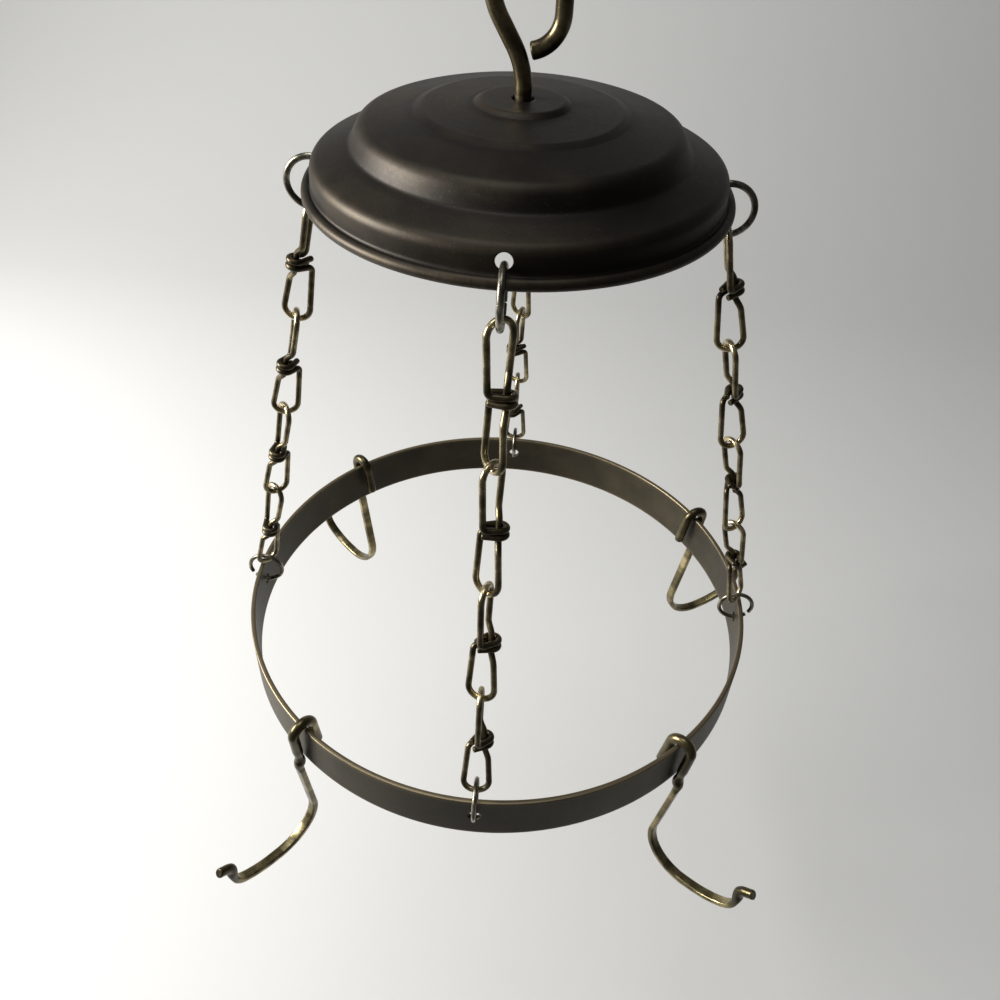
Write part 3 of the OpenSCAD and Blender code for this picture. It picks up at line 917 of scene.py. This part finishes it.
# angle round the hoop, twist and lean
POT_HOOKS = {
    "front_left": (-129.3, 2.4, -4),
    "front_right": (-45.2, 7.3, -2.4),
    "back_left": (135.2, 4.3, -1.4),
    "back_right": (31.2, -2.2, 3.1),
}
pot_brass = aged_brass(
    "pot hook brass",
    (0.05, 0.041, 0.021),
    (0.16, 0.132, 0.066),
    (0.5, 0.41, 0.22),
    (0.12, 0.075, 0.037),
    0.26,
)
saddle_up = SADDLE_GAP - math.sqrt(SADDLE_INSIDE**2 - (BAND / 2 + SADDLE_SHIFT) ** 2)
tilt = turn_matrix("Y", BACK_TILT)
profile = bend_bar(
    [
        (BACK_LEG, 0, 177.6, SADDLE),
        (21, 180, 20, 7),
        (2, 180, 22, 7),
        (41, 180, 105, 22),
        (4, 0, 23, BOW_RADIUS),
        (1, 0, 65, 13),
        (4, 180, 64, 5),
        (5, 0, 0, 0),
    ],
    np.array([SADDLE_SHIFT, 0, saddle_up - 2]) + tilt @ np.array([-SADDLE, 0, -BACK_LEG]),
    tilt,
)
s = along(profile)


def step_up(s, at, width):
    """0 before a place along the bar and 1 after it, smooth over the width."""
    t = np.clip((s - at) / width + 0.5, 0, 1)
    return t * t * (3 - 2 * t)


flat = step_up(s, FLAT_FROM, 7) * (1 - step_up(s, FLAT_TO, 6))
knuckle = 0.28 * np.exp(-(((s - 57.8) / 2.0) ** 2)) + 0.14 * np.exp(-(((s - 182.5) / 2.0) ** 2))
pinch = 0.5 * np.exp(-(((s - 52.0) / 2.8) ** 2)) + 0.3 * np.exp(-(((s - 62.0) / 1.8) ** 2))
half_x = (POT_BAR / 2) * (1 - flat) + (BOW_THICK / 2) * flat - pinch * 0.9 + knuckle
half_y = POT_BAR / 2 - pinch + knuckle - 0.3 * step_up(s, 187, 5)
square = 2.0 + 1.9 * flat
for number, (corner_name, (angle, twist, lean)) in enumerate(POT_HOOKS.items()):
    swing = turn_matrix("Z", angle)
    hang = turn_matrix("Z", twist) @ turn_matrix("X", lean)
    spot = (profile @ hang.T + (HOOP_RADIUS - BAND / 2, 0, HOOP_Z + 2)) @ swing.T
    hammer = 0.05 * ripple(s, 300 + number, 7) * flat
    skin, quads, lids, u, v = bar_skin(
        spot,
        swing @ hang @ tilt[:, 0],
        half_x - 0.05 - hammer,
        half_y - 0.03,
        200 + number,
        POT_AROUND,
        square,
    )
    far = spread(s, POT_AROUND)
    struck = spread(flat, POT_AROUND)
    worn = 0.2 + 0.2 * struck + 0.2 * ripple(far, 320 + number, 37)
    dirty = 0.65 * np.exp(-(((far - 55) / 6.0) ** 2)) + 0.45 * np.exp(-(((far - 182) / 6.0) ** 2))
    marks = np.stack([worn, dirty], 1)
    pot_hook = put(f"pot_hook_{corner_name}_bar", (skin, quads, lids, u, v, marks), pot_brass)
    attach(pot_hook, f"pot_hook_{corner_name}")
    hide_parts(f"pot_hook_{corner_name}")

# ---------------------------------------------------------------- floor, backdrop and light
# A pale sweep well behind and below the rack, a soft window on the left and a weak fill from above.
SWEEP_ROWS = 3
sweep = []
for x in np.linspace(-3.2, 3.2, SWEEP_ROWS):
    for y, z in (
        [(-0.3, -0.62), (0.9, -0.62)]
        + [(0.9 + 0.9 * math.sin(a), 0.28 - 0.9 * math.cos(a)) for a in np.linspace(0.15, math.pi / 2, 12)]
        + [(1.8, 0.9)]
    ):
        sweep.append((x, y, z))
columns = len(sweep) // SWEEP_ROWS
backdrop_mesh = bpy.data.meshes.new("backdrop")
backdrop_mesh.from_pydata(
    sweep,
    [],
    [
        (i * columns + j, (i + 1) * columns + j, (i + 1) * columns + j + 1, i * columns + j + 1)
        for i in range(SWEEP_ROWS - 1)
        for j in range(columns - 1)
    ],
)
backdrop_mesh.polygons.foreach_set("use_smooth", np.ones(len(backdrop_mesh.polygons), bool))
backdrop = bpy.data.objects.new("backdrop", backdrop_mesh)
bpy.context.scene.collection.objects.link(backdrop)
cloth = bpy.data.materials.new("pale cloth")
cloth.use_nodes = True
cloth_shader = cloth.node_tree.nodes["Principled BSDF"]
cloth_shader.inputs["Base Color"].default_value = (0.5, 0.5, 0.49, 1)
cloth_shader.inputs["Roughness"].default_value = 0.9
backdrop_mesh.materials.append(cloth)


def soft_light(name, place, target, size, power, colour):
    """Adds a square area light at a place, turned to a target."""
    lamp = bpy.data.lights.new(name, "AREA")
    lamp.shape = "SQUARE"
    lamp.size = size
    lamp.energy = power
    lamp.color = colour
    thing = bpy.data.objects.new(name, lamp)
    thing.location = place
    thing.rotation_euler = (Vector(target) - Vector(place)).to_track_quat("-Z", "Y").to_euler()
    bpy.context.scene.collection.objects.link(thing)


soft_light("window", (-1.4, -0.15, 0.3), (0, 0, -0.25), 0.7, 66, (1.0, 0.985, 0.96))
soft_light("high fill", (-0.5, 0.1, 2.1), (-0.3, 0.7, -0.6), 1.2, 20, (0.97, 0.985, 1.0))
world = bpy.data.worlds.new("room")
bpy.context.scene.world = world
world.use_nodes = True
world.node_tree.nodes["Background"].inputs["Color"].default_value = (0.8, 0.82, 0.85, 1)
world.node_tree.nodes["Background"].inputs["Strength"].default_value = 0.1

# ---------------------------------------------------------------- camera
# Held close and looking down at the rack, turned a little clockwise.
lens = bpy.data.cameras.new("camera")
lens.lens = 32.4
lens.sensor_width = 36
camera = bpy.data.objects.new("camera", lens)
bpy.context.scene.collection.objects.link(camera)
pitch, yaw, roll = math.radians(41.37), 0.048, 0.047
ahead = Vector((-math.sin(yaw) * math.cos(pitch), math.cos(yaw) * math.cos(pitch), -math.sin(pitch)))
right = Vector((math.cos(yaw), math.sin(yaw), 0))
upward = right.cross(ahead)
tilted_right = right * math.cos(roll) + upward * math.sin(roll)
tilted_up = upward * math.cos(roll) - right * math.sin(roll)
lens_place = (0.0151, -0.3462, HOOP_Z / 1000 + 0.3676)
facing = Matrix((tilted_right, tilted_up, -ahead)).transposed().to_4x4()
camera.matrix_world = Matrix.Translation(lens_place) @ facing
bpy.context.scene.camera = camera
bpy.context.scene.view_settings.view_transform = "Standard"
